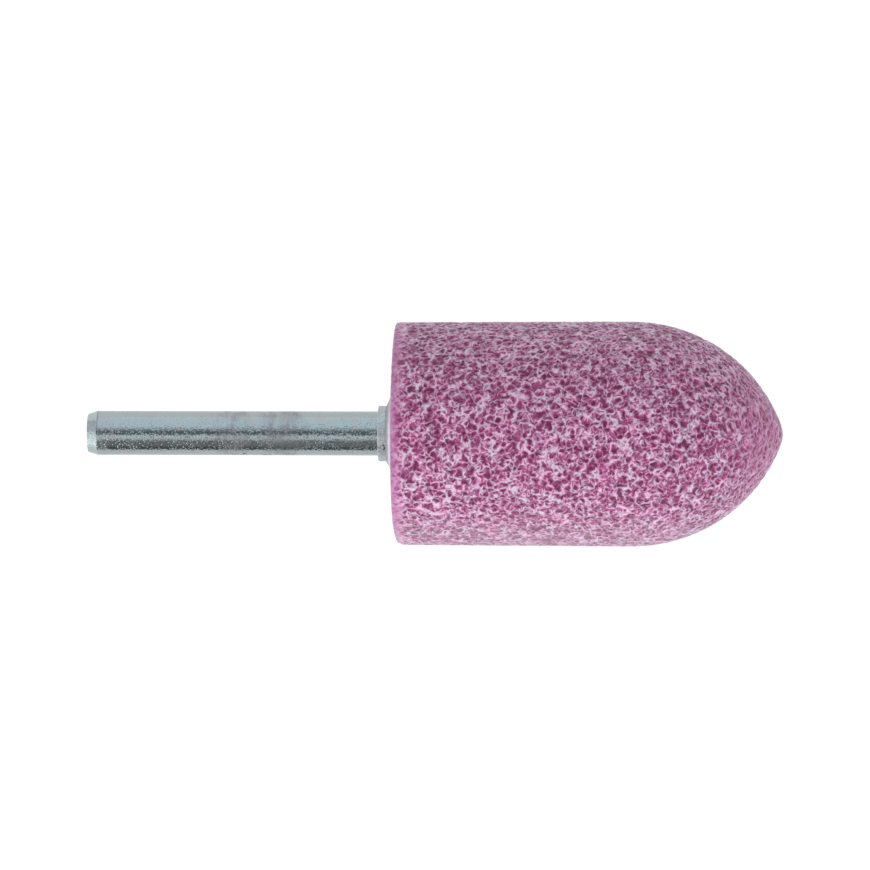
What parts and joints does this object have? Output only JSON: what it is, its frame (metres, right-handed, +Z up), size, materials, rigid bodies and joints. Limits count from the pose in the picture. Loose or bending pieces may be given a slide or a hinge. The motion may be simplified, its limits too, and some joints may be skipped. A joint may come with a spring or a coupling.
{
  "type": "mounted point",
  "caption": "Mounted grinding point: a pink vitrified head with a straight body and pointed-arch nose on a plain round steel shank.",
  "frame": {"origin": "on the plane that the point lies on, under the middle of its whole length and width", "axes": "+X along the tool's axis from the shank to the nose, +Z up from the plane that it lies on"},
  "size_m": [0.0944, 0.0304, 0.0305],
  "materials": {
    "ruby_alumina": "open-pored vitrified abrasive, matt",
    "set_cement": "matt set cement",
    "zinc_plated_steel": "turned, zinc plated, satin"
  },
  "bodies": {
    "root": {"abrasive_head": "ruby_alumina", "cement": "set_cement", "spindle": "zinc_plated_steel"}
  },
  "joints": []
}
